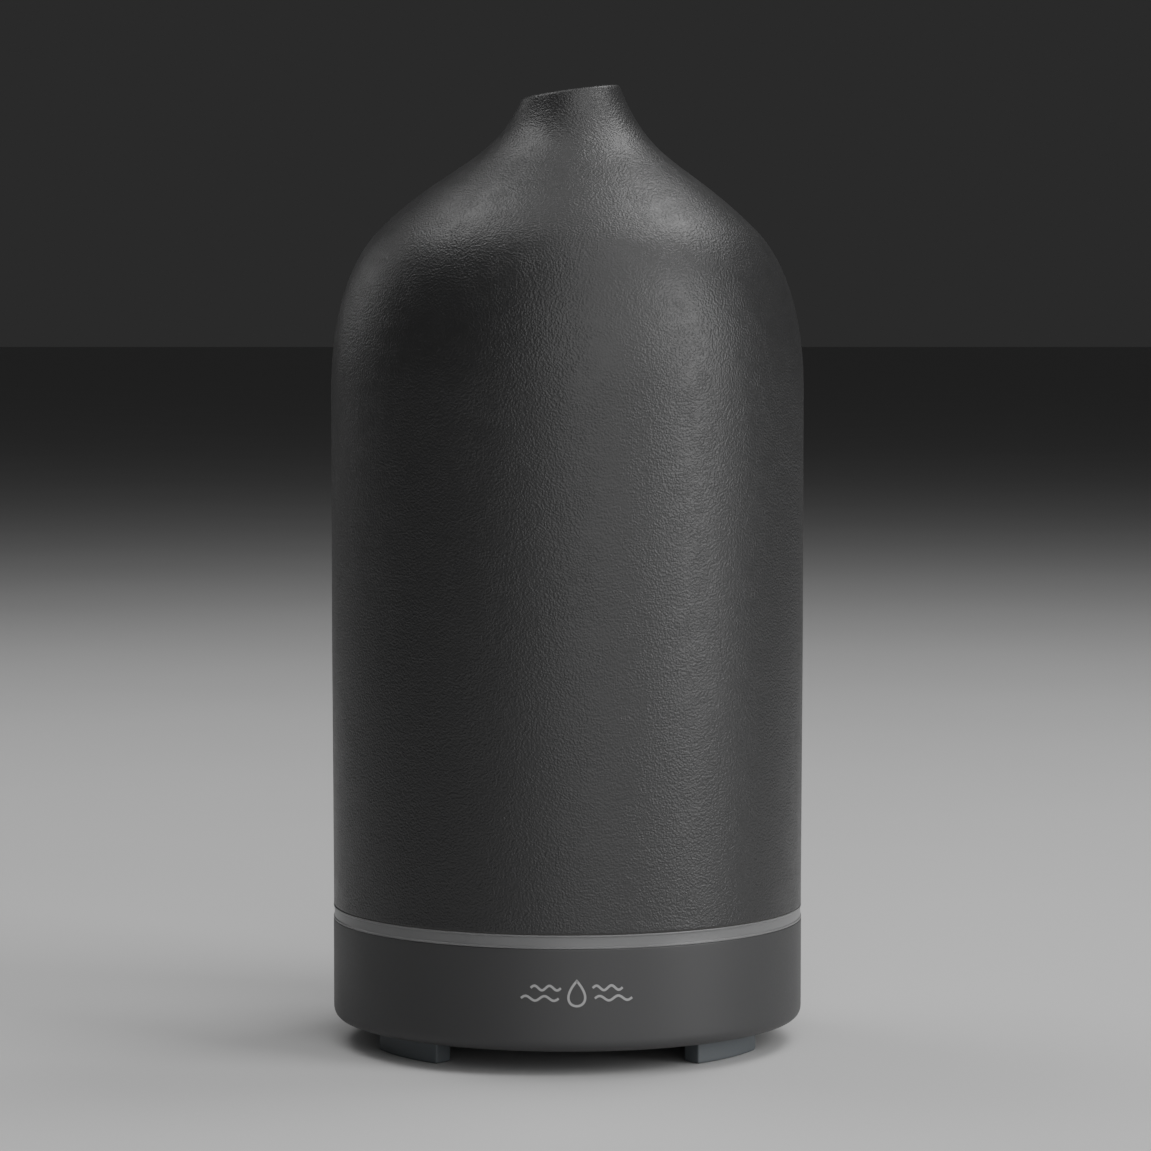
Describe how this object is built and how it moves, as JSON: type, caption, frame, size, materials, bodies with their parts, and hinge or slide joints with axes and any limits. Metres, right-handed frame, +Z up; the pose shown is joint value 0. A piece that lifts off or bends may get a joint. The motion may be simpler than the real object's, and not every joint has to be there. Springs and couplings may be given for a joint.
{
  "type": "essential oil diffuser",
  "caption": "Ultrasonic essential oil diffuser with a bottle-shaped ceramic cover over a lidded water tank, a translucent light ring and a low round base.",
  "frame": {"origin": "on the table, under the middle of the base", "axes": "+Z up, front towards -Y, +X to the right seen from the front"},
  "size_m": [0.09, 0.09, 0.1822],
  "materials": {
    "dark_ceramic": "matte, fine leathery relief",
    "white_plastic": "satin",
    "silicone": "satin",
    "diffuser_plastic": "satin, translucent",
    "dark_plastic": "fine matte",
    "foot_rubber": "matte",
    "piezo_electrode": "fine lapped",
    "steel": "zinc plated",
    "black_plastic": "matte",
    "brass": "satin",
    "copper": "enamelled wire",
    "magnet": "dark sintered",
    "circuit_board": "solder mask",
    "aluminium": "satin",
    "capacitor_sleeve": "gloss",
    "connector_plastic": "satin",
    "nickel": "polished",
    "led_board": "white solder mask",
    "led_package": "gloss",
    "red_lead": "gloss",
    "white_lead": "gloss",
    "label": "matte film"
  },
  "bodies": {
    "base": {"water_tank": "white_plastic", "base_seal": "silicone", "light_ring": "diffuser_plastic", "base_shell": "dark_plastic", "bottom_cover": "dark_plastic", "front_left_foot": "foot_rubber", "front_right_foot": "foot_rubber", "rear_left_foot": "foot_rubber", "rear_right_foot": "foot_rubber", "transducer_seal": "silicone", "transducer_disc": "piezo_electrode", "transducer_clamp": "steel", "clamp_screws": "steel", "air_duct": "white_plastic", "fan_frame": "black_plastic", "fan_bearing": "brass", "fan_stator": "steel", "fan_coils": "copper", "fan_screws": "steel", "main_board": "circuit_board", "board_screws": "steel", "microcontroller": "black_plastic", "power_transistor": "black_plastic", "heat_sink": "aluminium", "inductor": "magnet", "capacitors": "capacitor_sleeve", "board_connectors": "connector_plastic", "dc_jack": "black_plastic", "dc_jack_pin": "nickel", "light_switch": "black_plastic", "mist_switch": "black_plastic", "led_board": "led_board", "leds": "led_package", "fan_leads": "red_lead", "transducer_leads": "white_lead", "led_leads": "white_lead", "bottom_screws": "steel", "rating_label": "label"},
    "cover": {"ceramic_cover": "dark_ceramic"},
    "lid": {"mist_lid": "white_plastic", "splash_guard": "white_plastic"},
    "rotor": {"fan_rotor": "black_plastic", "fan_magnet": "magnet", "fan_shaft": "steel"},
    "light_key": {"light_plunger": "connector_plastic", "light_button": "dark_plastic"},
    "mist_key": {"mist_plunger": "connector_plastic", "mist_button": "dark_plastic"}
  },
  "joints": [
    {"name": "lid_lift", "type": "slide", "parent": "base", "child": "lid", "axis": [0, 0, 1], "range_m": [0, 0.06]},
    {"name": "cover_lift", "type": "slide", "parent": "lid", "child": "cover", "axis": [0, 0, 1], "range_m": [0, 0.15]},
    {"name": "fan_spin", "type": "hinge", "parent": "base", "child": "rotor", "pos_m": [0, -0.011, 0.0116], "axis": [0, 0, 1], "continuous": true},
    {"name": "light_press", "type": "slide", "parent": "base", "child": "light_key", "axis": [-0.5, -0.866, 0], "range_m": [0, 0.0006], "stiffness_N_per_m": 600, "springref_m": -0.0005},
    {"name": "mist_press", "type": "slide", "parent": "base", "child": "mist_key", "axis": [0.5, -0.866, 0], "range_m": [0, 0.0006], "stiffness_N_per_m": 600, "springref_m": -0.0005}
  ]
}
